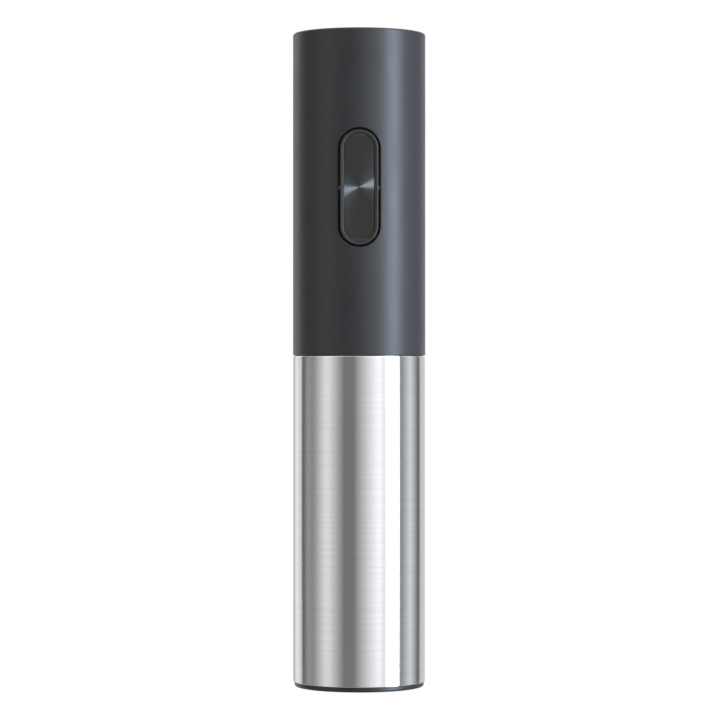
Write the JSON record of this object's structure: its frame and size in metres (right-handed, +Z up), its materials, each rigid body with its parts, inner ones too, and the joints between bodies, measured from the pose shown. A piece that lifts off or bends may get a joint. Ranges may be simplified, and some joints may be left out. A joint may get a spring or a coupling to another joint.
{
  "type": "electric wine opener",
  "caption": "Round battery wine opener: charcoal handle with a pill-shaped rocker over a brushed steel sleeve; a motor turns a worm that draws the cork.",
  "frame": {"origin": "centre of the base ring's underside, on the axis", "axes": "+Z up the body's axis to the battery lid; the rocker faces -Y; +X to the right as seen from the rocker's side"},
  "size_m": [0.0486, 0.0484, 0.239],
  "materials": {
    "charcoal_shell": "soft-touch satin paint over moulded ABS",
    "lid_plastic": "fine satin moulded ABS",
    "black_plastic": "fine texture",
    "frame_plastic": "as moulded",
    "sleeve_steel": "brushed round the axis",
    "rocker_plastic": "satin",
    "inlay_metal": "spun, dark anodised",
    "bright_steel": "polished",
    "turned_steel": "turned and pressed",
    "screw_steel": "zinc plated",
    "contact_metal": "nickel plated",
    "cell_jacket": "printed sleeve, no marking",
    "gear_nylon": "natural nylon",
    "gear_metal": "sintered",
    "bronze": "oil-filled sintered bronze",
    "copper": "enamelled copper and brass",
    "magnet": "ferrite",
    "bell_plastic": "natural nylon",
    "board": "green solder mask",
    "chip_black": "epoxy",
    "silicone": "translucent silicone",
    "lead_red": "PVC",
    "lead_black": "PVC",
    "guide_plastic": "acetal"
  },
  "bodies": {
    "handle": {"upper_shell": "charcoal_shell", "cell_1": "cell_jacket", "cell_2": "cell_jacket", "cell_3": "cell_jacket", "cell_4": "cell_jacket", "battery_tray": "frame_plastic", "bridge_contact": "contact_metal", "terminal_contacts": "contact_metal", "tray_screws": "screw_steel", "frame_front": "frame_plastic", "frame_rear": "frame_plastic", "frame_screws": "screw_steel", "rocker_pin": "bright_steel", "switch_bracket": "black_plastic", "switch_board": "board", "board_chips": "chip_black", "dome_mat": "silicone", "battery_leads": "lead_red", "motor_leads": "lead_black", "motor_can": "turned_steel", "motor_end_bell": "bell_plastic", "motor_magnets": "magnet", "motor_brushes": "copper", "motor_screws": "screw_steel", "motor_plate": "turned_steel", "gear_case": "gear_nylon", "gearbox_screws": "screw_steel", "gearbox_cover": "turned_steel", "output_bush": "bronze", "thrust_washer": "gear_nylon", "chamber_cap": "frame_plastic", "cap_screws": "screw_steel", "neck_guide": "black_plastic", "lower_tube": "frame_plastic", "lower_sleeve": "sleeve_steel", "base_ring": "black_plastic"},
    "lid": {"battery_lid": "lid_plastic", "lid_contacts": "contact_metal"},
    "rocker_body": {"rocker": "rocker_plastic", "rocker_inlay": "inlay_metal"},
    "rotor": {"motor_shaft": "bright_steel", "motor_armature": "copper", "motor_commutator": "copper", "sun_gear": "gear_metal"},
    "first_carrier": {"carrier_1": "turned_steel"},
    "second_carrier": {"carrier_2": "turned_steel"},
    "worm_drive": {"spindle": "turned_steel", "spindle_clip": "screw_steel", "carrier_3": "turned_steel", "worm": "bright_steel"},
    "guide_slider": {"cork_guide": "guide_plastic"},
    "planet_1a_body": {"planet_1a": "gear_nylon"},
    "planet_1b_body": {"planet_1b": "gear_nylon"},
    "planet_1c_body": {"planet_1c": "gear_nylon"},
    "planet_2a_body": {"planet_2a": "gear_metal"},
    "planet_2b_body": {"planet_2b": "gear_metal"},
    "planet_2c_body": {"planet_2c": "gear_metal"},
    "planet_3a_body": {"planet_3a": "gear_metal"},
    "planet_3b_body": {"planet_3b": "gear_metal"},
    "planet_3c_body": {"planet_3c": "gear_metal"}
  },
  "joints": [
    {"name": "lid_lift", "type": "slide", "parent": "handle", "child": "lid", "axis": [0, 0, 1], "range_m": [0, 0.05]},
    {"name": "rocker_tilt", "type": "hinge", "parent": "handle", "child": "rocker_body", "pos_m": [0, -0.0187, 0.1816], "axis": [1, 0, 0], "range_deg": [-3, 3], "stiffness_Nm_per_rad": 0.5, "deforming": ["dome_mat"]},
    {"name": "spindle_turn", "type": "hinge", "parent": "handle", "child": "worm_drive", "pos_m": [0, 0, 0.1168], "axis": [0, 0, -1], "range_deg": [0, 2401]},
    {"name": "guide_slide", "type": "slide", "parent": "handle", "child": "guide_slider", "axis": [0, 0, 1], "range_m": [0, 0.0601]},
    {"name": "carrier_2_turn", "type": "hinge", "parent": "handle", "child": "second_carrier", "pos_m": [0, 0, 0.1269], "axis": [0, 0, -1], "range_deg": [0, 10801]},
    {"name": "carrier_1_turn", "type": "hinge", "parent": "handle", "child": "first_carrier", "pos_m": [0, 0, 0.1348], "axis": [0, 0, -1], "range_deg": [0, 48601]},
    {"name": "rotor_turn", "type": "hinge", "parent": "handle", "child": "rotor", "pos_m": [0, 0, 0.1437], "axis": [0, 0, -1], "range_deg": [0, 218700]},
    {"name": "planet_3a_spin", "type": "hinge", "parent": "worm_drive", "child": "planet_3a_body", "pos_m": [0.0081, 0, 0.1234], "axis": [0, 0, -1], "range_deg": [-6721, 0]},
    {"name": "planet_3b_spin", "type": "hinge", "parent": "worm_drive", "child": "planet_3b_body", "pos_m": [-0.00405, 0.00701, 0.1234], "axis": [0, 0, -1], "range_deg": [-6721, 0]},
    {"name": "planet_3c_spin", "type": "hinge", "parent": "worm_drive", "child": "planet_3c_body", "pos_m": [-0.00405, -0.00701, 0.1234], "axis": [0, 0, -1], "range_deg": [-6721, 0]},
    {"name": "planet_2a_spin", "type": "hinge", "parent": "second_carrier", "child": "planet_2a_body", "pos_m": [0.0081, 0, 0.1318], "axis": [0, 0, -1], "range_deg": [-30241, 0]},
    {"name": "planet_2b_spin", "type": "hinge", "parent": "second_carrier", "child": "planet_2b_body", "pos_m": [-0.00405, 0.00701, 0.1318], "axis": [0, 0, -1], "range_deg": [-30241, 0]},
    {"name": "planet_2c_spin", "type": "hinge", "parent": "second_carrier", "child": "planet_2c_body", "pos_m": [-0.00405, -0.00701, 0.1318], "axis": [0, 0, -1], "range_deg": [-30241, 0]},
    {"name": "planet_1a_spin", "type": "hinge", "parent": "first_carrier", "child": "planet_1a_body", "pos_m": [0.0081, 0, 0.1395], "axis": [0, 0, -1], "range_deg": [-136081, 0]},
    {"name": "planet_1b_spin", "type": "hinge", "parent": "first_carrier", "child": "planet_1b_body", "pos_m": [-0.00405, 0.00701, 0.1395], "axis": [0, 0, -1], "range_deg": [-136081, 0]},
    {"name": "planet_1c_spin", "type": "hinge", "parent": "first_carrier", "child": "planet_1c_body", "pos_m": [-0.00405, -0.00701, 0.1395], "axis": [0, 0, -1], "range_deg": [-136081, 0]}
  ],
  "couplings": [
    {"joint": "spindle_turn", "follows": "rotor_turn", "ratio": 0.010974},
    {"joint": "guide_slide", "follows": "rotor_turn", "m_per_rad": 0.000015719},
    {"joint": "carrier_2_turn", "follows": "rotor_turn", "ratio": 0.049383},
    {"joint": "carrier_1_turn", "follows": "rotor_turn", "ratio": 0.22222},
    {"joint": "planet_3a_spin", "follows": "rotor_turn", "ratio": -0.030727},
    {"joint": "planet_3b_spin", "follows": "rotor_turn", "ratio": -0.030727},
    {"joint": "planet_3c_spin", "follows": "rotor_turn", "ratio": -0.030727},
    {"joint": "planet_2a_spin", "follows": "rotor_turn", "ratio": -0.13827},
    {"joint": "planet_2b_spin", "follows": "rotor_turn", "ratio": -0.13827},
    {"joint": "planet_2c_spin", "follows": "rotor_turn", "ratio": -0.13827},
    {"joint": "planet_1a_spin", "follows": "rotor_turn", "ratio": -0.62222},
    {"joint": "planet_1b_spin", "follows": "rotor_turn", "ratio": -0.62222},
    {"joint": "planet_1c_spin", "follows": "rotor_turn", "ratio": -0.62222}
  ]
}
